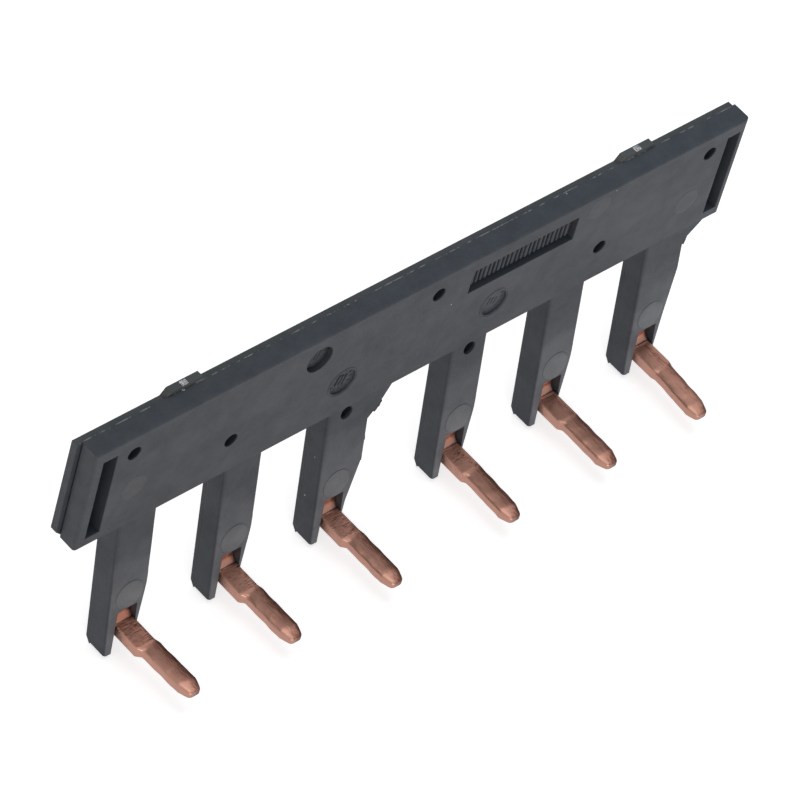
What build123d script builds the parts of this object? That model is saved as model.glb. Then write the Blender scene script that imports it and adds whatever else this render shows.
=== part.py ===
"""Connecting link for two three-pole contactors that stand side by side.

Millimetres, Z up. X runs along the plate and the pins point to -Y. The origin lies on the plate's rear face,
halfway between the middle pins and halfway up the plate. A depth is measured forwards from that face, and a
drop downwards from the plate's lower edge.
"""

from build123d import *

import os
from collections import namedtuple
from math import cos, radians, sin, tan

os.makedirs("parts", exist_ok=True)

# Plate and its two moulded halves
plate_left = 44.9
plate_right = 44.45
plate_height = 14.4
cover_depth = 0.85
front_wall = 0.9
cover_top_step = 0.4
cover_overhang = 0.5
cover_corner = 0.8
seam_chamfer = 0.2
shell_edge_radius = 0.35
fit_gap = 0.05

# Legs and where they stand
pole_pitch = 13.97
contactor_pitch = 45.0
leg_width = 5.0
leg_drop = 18.25
leg_lean = 7.2
leg_back_step = 0.25
leg_relief = 0.2
foot_drop = 8.9
foot_taper = 1.4
tongue_overhang = 0.2
foot_bevel_height = 0.7
foot_bevel_depth = 0.5
window_drop = 12.7
window_flare = 0.35

# Copper strip, its three nested bars and its pins
strip_width = 2.45
strip_thickness = 1.4
strip_edge = 0.08
bar_height = 2.2
bar_pitch = 3.0
inner_bar_rise = 1.8
bar_corner_radius = 0.6
lean_bend_radius = 3.0
pin_bend_radius = 1.7
pin_drop = 15.85
pin_reach = 12.3
pin_root = 4.9
pin_step = 0.8
pin_shift = 0.25
pin_width = 2.1
pin_edge_width = 0.5
pin_edge_drop = 0.15
pin_tip_length = 1.1
tip_width = 1.4
tip_thickness = 1.0

# Openings and marks in the front face
peg_hole_diameter = 1.7
peg_recess = 0.85
corner_peg_x = 39.5
corner_peg_rise = 11.63
side_peg_x = 25.45
side_peg_rise = 5.05
centre_peg_x = 1.0
leg_hole_diameter = 1.6
leg_hole_drop = 0.85
slot_x = 42.75
slot_width = 1.87
slot_height = 11.6
slot_rise = 6.92
recess_x = 13.0
recess_rise = 10.77
recess_width = 14.8
recess_height = 3.3
recess_depth = 0.9
dial_diameter = 3.4
deep_dial_x = -15.07
deep_dial_rise = 11.13
deep_dial_depth = 1.3
low_dial_x = 10.46
low_dial_rise = 4.98
low_dial_depth = 0.3

# Moulding bosses on the cover's top edge
boss_places = (-31.5, 30.4)
boss_length = 5.4
boss_top_length = 4.1
boss_height = 0.85

# A gusset stiffens the third leg of each contactor on its right side. Its outline runs from the plate's
# lower edge to a corner, to the top of a low rib and down the rib to where it dies away in the foot.
Gusset = namedtuple("Gusset", "leg reach corner_width corner_drop rib_width rib_top rib_foot rib_end")
gussets = [
    Gusset(
        leg=2, reach=3.83, corner_width=2.24, corner_drop=2.2,
        rib_width=0.95, rib_top=3.4, rib_foot=8.9, rib_end=14.2,
    ),
    Gusset(
        leg=5, reach=3.4, corner_width=1.2, corner_drop=1.5,
        rib_width=0.8, rib_top=2.3, rib_foot=5.6, rib_end=11.0,
    ),
]

# Worked out from the sizes above
lean = radians(leg_lean)
channel_depth = strip_thickness + fit_gap
shell_depth = front_wall + channel_depth
plate_depth = cover_depth + shell_depth
plate_bottom = -plate_height / 2
plate_length = plate_left + plate_right
plate_middle = (plate_right - plate_left) / 2
strip_middle = cover_depth + channel_depth / 2
pin_start = plate_depth + pin_root
pin_end = plate_depth + pin_reach
channel_width = strip_width + 2 * fit_gap
channel_half = channel_width / 2
leg_half = leg_width / 2
leg_length = leg_drop / cos(lean)
foot_length = leg_length - foot_drop
tongue_drop = leg_drop + tongue_overhang
leg_places = [
    side * contactor_pitch / 2 + pole * pole_pitch for side in (-1, 1) for pole in (-1, 0, 1)
]
leg_direction = (0, -sin(lean), -cos(lean))
leg_front = Plane(origin=(0, -plate_depth, plate_bottom), x_dir=(1, 0, 0), z_dir=(0, -cos(lean), sin(lean)))
bars = {
    name: (leg_places[3 + turn], plate_bottom + inner_bar_rise + turn * bar_pitch)
    for turn, name in enumerate(("link_inner", "link_middle", "link_outer"))
}
peg_places = [
    (place, plate_bottom + rise)
    for place, rise in (
        (-corner_peg_x, corner_peg_rise),
        (corner_peg_x, corner_peg_rise),
        (centre_peg_x, corner_peg_rise),
        (-side_peg_x, side_peg_rise),
        (side_peg_x, side_peg_rise),
    )
]


def leg_point(depth, drop):
    """Y and Z of a point in a leg, which leans forwards from the plate's lower edge."""
    return -depth - drop * tan(lean), plate_bottom - drop


def leg_piece(near, far, left, right, top, radius=0.0):
    """Level section at one drop of what is to run down a leg, between two depths and two sides."""
    back, height = leg_point(near, top)
    with BuildSketch(Plane.XY.offset(height)) as section:
        with Locations(((left + right) / 2, back - (far - near) / 2)):
            Rectangle(right - left, far - near)
        if radius:
            fillet(section.vertices().group_by(Axis.Y)[0], radius)
    return section.sketch


def down_leg(top, bottom):
    """Length along the leaning leg from one drop to another."""
    return (bottom - top) / cos(lean)


def foot_side(drop):
    """How far the foot's right side, which tapers inwards, is from the leg's middle at one drop."""
    return leg_half - foot_taper * (drop - foot_drop) / foot_length


def tongue_bevel():
    """Outline, seen from the end, of the lower rear corner that is cut off every tongue."""
    with BuildSketch(Plane.YZ.offset(-plate_left)) as corner:
        with BuildLine():
            Polyline(
                leg_point(leg_back_step, tongue_drop),
                leg_point(leg_back_step + foot_bevel_depth, tongue_drop),
                leg_point(leg_back_step, tongue_drop - foot_bevel_height),
                close=True,
            )
        make_face()
    return corner.sketch


def pin_section(middle, depth, width, thickness, edge_width, edge_drop):
    """Section of a pin at one depth, a rectangle whose four edges are taken off by flats."""
    half_width, half_thickness = width / 2, thickness / 2
    with BuildSketch(Plane.XZ.offset(depth)) as section:
        with BuildLine(Location((middle, plate_bottom - pin_drop))):
            Polyline(
                [
                    (side * (half_width - inset), end * (half_thickness - drop))
                    for side, end, turn in ((-1, -1, 1), (1, -1, -1), (1, 1, 1), (-1, 1, -1))
                    for inset, drop in ((0, edge_drop), (edge_width, 0))[::turn]
                ],
                close=True,
            )
        make_face()
    return section.sketch


# Front shell: the plate and its legs, then what is cut into them
with BuildPart() as front_shell:
    with BuildSketch(Plane.XZ.offset(cover_depth)):
        with Locations((plate_middle, 0)):
            Rectangle(plate_length, plate_height)
    extrude(amount=shell_depth)
    fillet(front_shell.faces().sort_by(Axis.Y)[0].edges().sort_by(Axis.Z)[1:], shell_edge_radius)
    chamfer(front_shell.faces().sort_by(Axis.Y)[-1].edges().sort_by(Axis.X)[0], seam_chamfer)

    for place in leg_places:
        leg = leg_piece(cover_depth, plate_depth, place - leg_half, place + leg_half, 0, shell_edge_radius)
        extrude(leg, amount=down_leg(0, leg_drop), dir=leg_direction)
    # A leg narrows on its right side down to the foot, which starts wide round the ejector's mark and tapers
    with BuildSketch(leg_front) as reliefs:
        for place in leg_places:
            right = place + leg_half
            with BuildLine():
                Polyline(
                    (right, -leg_relief),
                    (right - leg_relief, -foot_drop),
                    (right, -foot_drop),
                    (right - foot_taper, -leg_length),
                    (right + leg_relief, -leg_length),
                    (right + leg_relief, -leg_relief),
                    close=True,
                )
            make_face()
    extrude(reliefs.sketch, amount=shell_depth, dir=(0, 1, 0), mode=Mode.SUBTRACT)

    for gusset in gussets:
        side = leg_places[gusset.leg] + leg_half - leg_relief
        with BuildSketch(leg_front) as web:
            with BuildLine():
                Polyline(
                    (side - leg_relief, 0),
                    (side + gusset.reach, 0),
                    (side + gusset.corner_width, -gusset.corner_drop),
                    (side + gusset.rib_width, -gusset.rib_top),
                    (side + gusset.rib_width, -gusset.rib_foot),
                    (leg_places[gusset.leg] + foot_side(gusset.rib_end), -gusset.rib_end),
                    close=True,
                )
            make_face()
        extrude(web.sketch, amount=shell_depth, dir=(0, 1, 0))

    # Channels for the three links, first in the plate and then down the legs
    with BuildSketch(Plane.XZ.offset(cover_depth)):
        for reach, bar_z in bars.values():
            with Locations((0, bar_z)):
                Rectangle(2 * reach + channel_width, bar_height + 2 * fit_gap)
            with Locations((-reach, (bar_z + plate_bottom) / 2), (reach, (bar_z + plate_bottom) / 2)):
                Rectangle(channel_width, bar_z - plate_bottom)
    extrude(amount=channel_depth, mode=Mode.SUBTRACT)
    for place in leg_places:
        groove = leg_piece(
            cover_depth, cover_depth + channel_depth, place - channel_half, place + channel_half, 0
        )
        extrude(groove, amount=down_leg(0, leg_drop), dir=leg_direction, mode=Mode.SUBTRACT)
    # Low down the channel is open to the front, as a window that flares to the left
    with BuildSketch(leg_front) as windows:
        for place in leg_places:
            with BuildLine():
                Polyline(
                    (place - channel_half, -window_drop),
                    (place + channel_half, -window_drop),
                    (place + channel_half, -leg_length),
                    (place - channel_half - window_flare, -leg_length),
                    close=True,
                )
            make_face()
    extrude(windows.sketch, amount=shell_depth, dir=(0, 1, 0), mode=Mode.SUBTRACT)

    # Peg holes and end slots go through, the rest is cut in the front face
    with BuildSketch(Plane.XZ.offset(cover_depth)):
        with Locations(*peg_places):
            Circle(peg_hole_diameter / 2)
        with Locations((-slot_x, plate_bottom + slot_rise), (slot_x, plate_bottom + slot_rise)):
            Rectangle(slot_width, slot_height)
    extrude(amount=shell_depth, mode=Mode.SUBTRACT)
    with BuildSketch(Plane.XZ.offset(plate_depth)):
        with Locations((recess_x, plate_bottom + recess_rise)):
            Rectangle(recess_width, recess_height)
    extrude(amount=-recess_depth, mode=Mode.SUBTRACT)
    with BuildSketch(Plane.XZ.offset(plate_depth)):
        with Locations((deep_dial_x, plate_bottom + deep_dial_rise)):
            Circle(dial_diameter / 2)
    extrude(amount=-deep_dial_depth, mode=Mode.SUBTRACT)
    with BuildSketch(Plane.XZ.offset(plate_depth)):
        with Locations((-low_dial_x, plate_bottom + low_dial_rise), (low_dial_x, plate_bottom + low_dial_rise)):
            Circle(dial_diameter / 2)
    extrude(amount=-low_dial_depth, mode=Mode.SUBTRACT)
    with BuildSketch(leg_front):
        with Locations((leg_places[2], -leg_hole_drop), (leg_places[3], -leg_hole_drop)):
            Circle(leg_hole_diameter / 2)
    extrude(amount=-front_wall, mode=Mode.SUBTRACT)

front_shell.part.label = "front_shell"
export_step(front_shell.part, "parts/front_shell.step")

# Rear cover: a thin plate with moulding bosses, tongues that close the legs, and locating pegs
with BuildPart() as rear_cover:
    cover_top = plate_height / 2 - cover_top_step
    with BuildSketch(Plane.XZ) as cover_outline:
        with Locations((plate_middle - cover_overhang / 2, (cover_top + plate_bottom) / 2)):
            Rectangle(plate_length + cover_overhang, cover_top - plate_bottom)
        chamfer(cover_outline.vertices().group_by(Axis.Y)[0], cover_corner)
        for middle in boss_places:
            with BuildLine():
                Polyline(
                    (middle - boss_length / 2, cover_top),
                    (middle - boss_top_length / 2, cover_top + boss_height),
                    (middle + boss_top_length / 2, cover_top + boss_height),
                    (middle + boss_length / 2, cover_top),
                    close=True,
                )
            make_face()
    extrude(amount=cover_depth)
    for place in leg_places:
        tongue = leg_piece(leg_back_step, cover_depth, place - leg_half, place + leg_half - leg_relief, 0)
        extrude(tongue, amount=down_leg(0, tongue_drop), dir=leg_direction)
    extrude(tongue_bevel(), amount=plate_length, mode=Mode.SUBTRACT)
    with BuildSketch(Plane.XZ.offset(cover_depth)):
        with Locations(*peg_places):
            Circle(peg_hole_diameter / 2 - fit_gap)
    extrude(amount=shell_depth - peg_recess)

rear_cover.part.label = "rear_cover"
export_step(rear_cover.part, "parts/rear_cover.step")

# Links: a bar blanked from copper strip, whose two legs lean with the housing's and turn out as pins
for name, (reach, bar_z) in bars.items():
    with BuildPart() as link:
        with BuildSketch(Plane.XZ.offset(strip_middle - strip_thickness / 2)) as blank:
            with Locations((0, bar_z)):
                Rectangle(2 * reach + strip_width, bar_height)
            fillet(blank.vertices().group_by(Axis.Y)[-1], bar_corner_radius)
        extrude(amount=strip_thickness)
        for place in (-reach, reach):
            with BuildLine(Plane.YZ.offset(place)) as run:
                FilletPolyline(
                    (-strip_middle, bar_z),
                    (-strip_middle, plate_bottom),
                    leg_point(strip_middle, pin_drop),
                    (-pin_start, plate_bottom - pin_drop),
                    radius=(lean_bend_radius, pin_bend_radius),
                )
            with BuildSketch(Plane(origin=run.line @ 0, x_dir=(1, 0, 0), z_dir=run.line % 0)) as strip:
                Rectangle(strip_width, strip_thickness)
                chamfer(strip.vertices(), strip_edge)
            sweep()
            # Past its root the pin is coined narrower, nearly flush on its right side, and tapers to its tip
            middle = place + pin_shift
            edge_flats = (pin_edge_width, pin_edge_drop)
            loft(
                [
                    pin_section(place, pin_start, strip_width, strip_thickness, strip_edge, strip_edge),
                    pin_section(middle, pin_start + pin_step, pin_width, strip_thickness, *edge_flats),
                    pin_section(middle, pin_end - pin_tip_length, pin_width, strip_thickness, *edge_flats),
                    pin_section(middle, pin_end, tip_width, tip_thickness, *edge_flats),
                ],
                ruled=True,
            )

    link.part.label = name
    export_step(link.part, f"parts/{name}.step")
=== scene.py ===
"""Looks of the contactor connecting link: a moulded black housing and three bent copper links.

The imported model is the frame. The housing's two halves keep their shapes and get moulded plastic. Each copper
link is replaced by a finer surface of the same size, and small moulding marks are added to the housing. The
pieces' sizes and the finishes' zones are in millimetres, and the studio and the camera in metres. X runs along
the plate, Z is up and the pins point to -Y.
"""

import logging
from dataclasses import dataclass, field
from enum import Enum
from functools import reduce
from typing import Sequence

import bpy
import numpy as np
from mathutils import Matrix, Vector

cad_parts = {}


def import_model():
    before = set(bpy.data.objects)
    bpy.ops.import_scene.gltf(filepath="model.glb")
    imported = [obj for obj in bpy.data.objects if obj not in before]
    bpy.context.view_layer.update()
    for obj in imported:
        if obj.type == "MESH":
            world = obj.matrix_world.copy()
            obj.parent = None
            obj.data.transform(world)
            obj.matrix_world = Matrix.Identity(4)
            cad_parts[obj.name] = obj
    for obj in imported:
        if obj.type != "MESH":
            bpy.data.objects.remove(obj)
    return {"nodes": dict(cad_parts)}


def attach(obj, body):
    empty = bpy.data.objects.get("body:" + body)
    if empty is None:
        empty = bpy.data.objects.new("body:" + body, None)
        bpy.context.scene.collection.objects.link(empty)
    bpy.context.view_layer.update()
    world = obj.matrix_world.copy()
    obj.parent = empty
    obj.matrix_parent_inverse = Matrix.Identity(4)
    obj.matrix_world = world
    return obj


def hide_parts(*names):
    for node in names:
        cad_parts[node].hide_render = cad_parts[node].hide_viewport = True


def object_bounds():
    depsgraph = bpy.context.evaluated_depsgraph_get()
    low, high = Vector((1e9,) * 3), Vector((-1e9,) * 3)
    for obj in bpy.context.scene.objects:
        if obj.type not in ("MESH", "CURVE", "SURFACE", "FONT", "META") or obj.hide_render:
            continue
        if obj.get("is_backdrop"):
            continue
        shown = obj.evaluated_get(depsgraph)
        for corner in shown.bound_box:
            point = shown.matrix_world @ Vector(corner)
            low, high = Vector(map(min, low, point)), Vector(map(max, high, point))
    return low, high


LOG = logging.getLogger("connecting_link")
MM = 0.001
PHOTO_PIXELS = 800

Array = np.ndarray
Place = tuple[Array, Array, Array]
Colour = tuple[float, float, float]
Node = bpy.types.Node
Material = bpy.types.Material
Source = Node | tuple[Node, str]


class Slot(Enum):
    """Names of two material slots, which Surface.build takes but does not use."""

    PLASTIC = "black_plastic"
    COPPER = "copper"


class Along(Enum):
    """What a mask runs along: the place in millimetres, or the way that the surface faces."""

    X = ("place", "X")
    Y = ("place", "Y")
    Z = ("place", "Z")
    FACING_X = ("facing", "X")
    FACING_Y = ("facing", "Y")
    FACING_Z = ("facing", "Z")


@dataclass(frozen=True)
class Step:
    """Mask that rises smoothly from 0 at the start to 1 at the end."""

    along: Along
    start: float
    end: float


@dataclass(frozen=True)
class Band:
    """Mask that is 1 within the inner distance of a middle and falls to 0 at the outer one."""

    along: Along
    middle: float
    inner: float
    outer: float


Zone = tuple[Step | Band, ...]


@dataclass(frozen=True)
class Tint:
    """Colour that multiplies a finish's own within a zone."""

    colour: Colour
    zone: Zone


@dataclass(frozen=True)
class Grain:
    """Noise in waves per millimetre, with a stretch for each axis."""

    scale: float
    detail: float
    roughness: float = 0.5
    stretch: tuple[float, float, float] = (1.0, 1.0, 1.0)


@dataclass(frozen=True)
class Specks:
    """Scattered round specks: cells per millimetre, outer and inner edge in cells, and the share left bare."""

    scale: float
    edge: tuple[float, float]
    chance: tuple[float, float]


def unit(vectors: Array) -> Array:
    """Vectors scaled to length one along their last axis."""
    return vectors / np.linalg.norm(vectors, axis=-1, keepdims=True)


def grid_faces(rows: int, columns: int, offset: int = 0, close_rows: bool = False) -> Array:
    """Quads of a grid whose columns close on themselves, and its rows too if asked.

    Args:
        rows: Number of sections along the piece.
        columns: Number of points round each section.
        offset: Index of the grid's first vertex.
        close_rows: Whether the last section joins the first.

    Returns:
        Vertex indices, one row of four for each quad.
    """
    row, column = np.meshgrid(np.arange(rows if close_rows else rows - 1), np.arange(columns), indexing="ij")
    beside = (column + 1) % columns
    after = (row + 1) % rows
    corners = (row * columns + column, row * columns + beside, after * columns + beside, after * columns + column)
    return np.stack(corners, axis=-1).reshape(-1, 4) + offset


def superellipse(count: int, side_power: Array, end_power: Array) -> tuple[Array, Array]:
    """Unit sections between an ellipse and a rectangle.

    The points are (sign(cos t) |cos t|^(2/p), sign(sin t) |sin t|^(2/q)) with t going once round.

    Args:
        count: Points round each section.
        side_power: Power p of each section, across it.
        end_power: Power q of each section, through its thickness.

    Returns:
        Across and through coordinates, one row for each section.
    """
    turn = 2 * np.pi * (np.arange(count) + 0.5) / count
    across = np.sign(np.cos(turn)) * np.abs(np.cos(turn)) ** (2 / side_power[:, None])
    through = np.sign(np.sin(turn)) * np.abs(np.sin(turn)) ** (2 / end_power[:, None])
    return across, through


def ease(values: Array, start: float, end: float) -> Array:
    """Smooth step 3s^2 - 2s^3 from 0 at the start to 1 at the end."""
    share = np.clip((values - start) / (end - start), 0.0, 1.0)
    return share * share * (3 - 2 * share)


@dataclass
class Surface:
    """Points in millimetres and faces of a mesh that is put together from closed tubes and rings."""

    points: list[Array] = field(default_factory=list)
    faces: list[tuple[int, ...]] = field(default_factory=list)

    def _add_grid(self, sections: Array, close_rows: bool) -> tuple[int, int, int]:
        """Add the points and the quads of a grid, and give its first index and its size.

        Args:
            sections: Points as rows of closed sections.
            close_rows: Whether the last section joins the first.

        Returns:
            The grid's first index, its rows and its columns.
        """
        rows, columns, _ = sections.shape
        start = sum(len(block) for block in self.points)
        self.points.append(sections.reshape(-1, 3))
        self.faces.extend(map(tuple, grid_faces(rows, columns, start, close_rows).tolist()))
        return start, rows, columns

    def add_tube(self, sections: Array) -> None:
        """Add a tube with flat ends.

        Args:
            sections: Points as rows of closed sections, each going round to the left of the tube's direction.
        """
        start, rows, columns = self._add_grid(sections, False)
        self.faces.append(tuple(range(start + columns - 1, start - 1, -1)))
        last = start + (rows - 1) * columns
        self.faces.append(tuple(range(last, last + columns)))

    def add_ring(self, sections: Array) -> None:
        """Add a tube that closes on itself."""
        self._add_grid(sections, True)

    def build(self, name: str, slot: Slot, material: Material, smooth: bool = True) -> bpy.types.Object:
        """Make the object, with its place in its mesh, and let it ride on the part.

        Args:
            name: Name of the new object.
            slot: Material slot that its finish belongs to; not used.
            material: Its finish.
            smooth: Whether the faces are shaded smooth.

        Returns:
            The new object, linked to the scene.
        """
        mesh = bpy.data.meshes.new(name)
        mesh.from_pydata((np.concatenate(self.points) * MM).tolist(), [], self.faces)
        mesh.validate()
        mesh.polygons.foreach_set("use_smooth", np.full(len(mesh.polygons), smooth))
        mesh.materials.append(material)
        mesh.update()
        piece = bpy.data.objects.new(name, mesh)
        bpy.context.scene.collection.objects.link(piece)
        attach(piece, "root")
        LOG.info("%s: %d faces", name, len(mesh.polygons))
        return piece


class Nodes:
    """Short way to write a node tree. A source is a node, which gives its first output, or a node and an output."""

    def __init__(
        self,
        owner: Material | bpy.types.World,
        output: str = "ShaderNodeOutputMaterial",
        shader: str = "ShaderNodeBsdfPrincipled",
    ) -> None:
        """Empty the owner's tree and start it with an output and a shader.

        Args:
            owner: The material or world that the tree belongs to.
            output: Type of its output node.
            shader: Type of its shader node.
        """
        self.owner = owner
        owner.use_nodes = True
        self.tree = owner.node_tree
        self.tree.nodes.clear()
        self.shader = self.add(shader)
        self.output = self.add(output, Surface=self.shader)
        self._places: dict[tuple[float, float, float], Node] = {}
        self._axes: dict[str, Node] = {}

    def put(self, value: object, node: Node, into: str | int) -> None:
        """Link a source to a socket, or set the socket to a number or a colour.

        Args:
            value: Source, number or colour.
            node: Node that takes it.
            into: Name or number of the socket.
        """
        source = (value, 0) if isinstance(value, Node) else value
        if isinstance(source, tuple) and isinstance(source[0], Node):
            self.tree.links.new(source[0].outputs[source[1]], node.inputs[into])
        else:
            node.inputs[into].default_value = source

    def add(self, kind: str, **settings: object) -> Node:
        """Add a node, set its properties and link or set its sockets.

        Args:
            kind: Node type.
            **settings: Property names, or socket names with spaces written as underscores.

        Returns:
            The new node.
        """
        node = self.tree.nodes.new(kind)
        for key, value in settings.items():
            if hasattr(node, key):
                setattr(node, key, value)
            else:
                self.put(value, node, key.replace("_", " "))
        return node

    def finish(self, **settings: object) -> Material | bpy.types.World:
        """Link or set the shader's sockets, named as in add, and give the owner.

        Args:
            **settings: Socket names with spaces written as underscores.

        Returns:
            The material or the world.
        """
        for key, value in settings.items():
            self.put(value, self.shader, key.replace("_", " "))
        return self.owner

    def place(self, scale: tuple[float, float, float] = (1.0, 1.0, 1.0)) -> Node:
        """Object coordinates in millimetres, stretched by a scale on each axis.

        Args:
            scale: Stretch on each axis.

        Returns:
            Node with the coordinates, made once for each scale.
        """
        if scale not in self._places:
            coordinates = (self.add("ShaderNodeTexCoord"), "Object")
            stretch = [value / MM for value in scale]
            self._places[scale] = self.add("ShaderNodeMapping", Vector=coordinates, Scale=stretch)
        return self._places[scale]

    def normal(self) -> Node:
        """The surface's direction in the piece's own frame."""
        coordinates = (self.add("ShaderNodeTexCoord"), "Normal")
        return self.add("ShaderNodeVectorMath", operation="NORMALIZE", Vector=coordinates)

    def axes(self, source: Source) -> Node:
        """The three parts of a vector or a colour, as outputs X, Y and Z."""
        return self.add("ShaderNodeSeparateXYZ", Vector=source)

    def noise(self, grain: Grain) -> Node:
        """Noise texture of a grain.

        Args:
            grain: Its size, detail and stretch.

        Returns:
            The texture.
        """
        place = self.place(grain.stretch)
        settings = {"Scale": grain.scale, "Detail": grain.detail, "Roughness": grain.roughness}
        return self.add("ShaderNodeTexNoise", Vector=place, **settings)

    def specks(self, specks: Specks) -> Node:
        """Mask of scattered specks, from the cells of a Voronoi texture.

        Args:
            specks: Their size and number.

        Returns:
            The mask.
        """
        cells = self.add("ShaderNodeTexVoronoi", Vector=self.place(), Scale=specks.scale)
        chosen = self.step((self.axes((cells, "Color")), "X"), *specks.chance)
        return self.times(self.step((cells, "Distance"), *specks.edge), chosen)

    def ramp(self, source: Source, stops: Sequence[float], colours: Sequence[Colour]) -> Node:
        """Colour ramp with the given stops.

        Args:
            source: What the ramp follows.
            stops: Places of the stops, from 0 to 1.
            colours: Their colours.

        Returns:
            The ramp.
        """
        node = self.add("ShaderNodeValToRGB", Fac=source)
        elements = node.color_ramp.elements
        while len(elements) < len(stops):
            elements.new(0.5)
        for element, position, colour in zip(elements, stops, colours):
            element.position = position
            element.color = (*colour, 1.0)
        return node

    def spread(self, source: Source, low: float, high: float, start: float = 0.0, end: float = 1.0) -> Node:
        """Map a value from a start and an end onto a range."""
        return self.add("ShaderNodeMapRange", Value=source, From_Min=start, From_Max=end, To_Min=low, To_Max=high)

    def step(self, source: Source, start: float, end: float) -> Node:
        """Smooth step from 0 at the start to 1 at the end."""
        settings = {"interpolation_type": "SMOOTHSTEP", "From_Min": start, "From_Max": end}
        return self.add("ShaderNodeMapRange", Value=source, **settings)

    def band(self, source: Source, middle: float, inner: float, outer: float) -> Node:
        """1 within the inner distance of a middle, falling to 0 at the outer one."""
        return self.step(self.math("ABSOLUTE", self.plus(source, -middle)), outer, inner)

    def bump(self, source: Source, depth: float, **normal: Node) -> Node:
        """Bump of a depth in metres, over an earlier Normal if one is given."""
        return self.add("ShaderNodeBump", Strength=1.0, Distance=depth, Height=source, **normal)

    def math(self, operation: str, first: Source, second: Source | float = 0.0) -> Node:
        """Arithmetic on two sources or a source and a number.

        Args:
            operation: Blender's name for it.
            first: First source.
            second: Second source or number.

        Returns:
            The result.
        """
        node = self.add("ShaderNodeMath", operation=operation)
        self.put(first, node, 0)
        self.put(second, node, 1)
        return node

    def times(self, first: Source, second: Source | float) -> Node:
        """Product of two sources or a source and a number."""
        return self.math("MULTIPLY", first, second)

    def plus(self, first: Source, second: Source | float) -> Node:
        """Sum of two sources or a source and a number."""
        return self.math("ADD", first, second)

    def mean(self, first: Source, second: Source, share: float) -> Node:
        """Weighted mean of two sources, with the second's share given."""
        return self.plus(self.times(first, 1.0 - share), self.times(second, share))

    def zone(self, limits: Zone) -> Node:
        """Product of masks along the place or the facing of the surface.

        Args:
            limits: The steps and bands that are multiplied.

        Returns:
            The mask.
        """
        masks = []
        for limit in limits:
            vector, axis = limit.along.value
            if vector not in self._axes:
                self._axes[vector] = self.axes(self.place() if vector == "place" else self.normal())
            source = (self._axes[vector], axis)
            if isinstance(limit, Step):
                masks.append(self.step(source, limit.start, limit.end))
            else:
                masks.append(self.band(source, limit.middle, limit.inner, limit.outer))
        return reduce(self.times, masks)

    def seen(self) -> Node:
        """1 where the camera, a gloss or a clear piece sees the surface, otherwise 0.

        Returns:
            The mask.
        """
        paths = self.add("ShaderNodeLightPath")
        eye = self.math("MAXIMUM", (paths, "Is Camera Ray"), (paths, "Is Glossy Ray"))
        return self.math("MAXIMUM", (paths, "Is Transmission Ray"), eye)

    def tint(self, base: Node, share: Node, colour: Colour, blend: str = "MULTIPLY") -> Node:
        """Multiply a colour by another, or blend it in another of Blender's ways, by a share from 0 to 1."""
        return self.add("ShaderNodeMixRGB", blend_type=blend, Fac=share, Color1=base, Color2=(*colour, 1.0))

    def cover(self, base: Node, share: Node, colour: Colour) -> Node:
        """Lay a colour over another, by a share from 0 to 1."""
        return self.tint(base, share, colour, "MIX")


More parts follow.
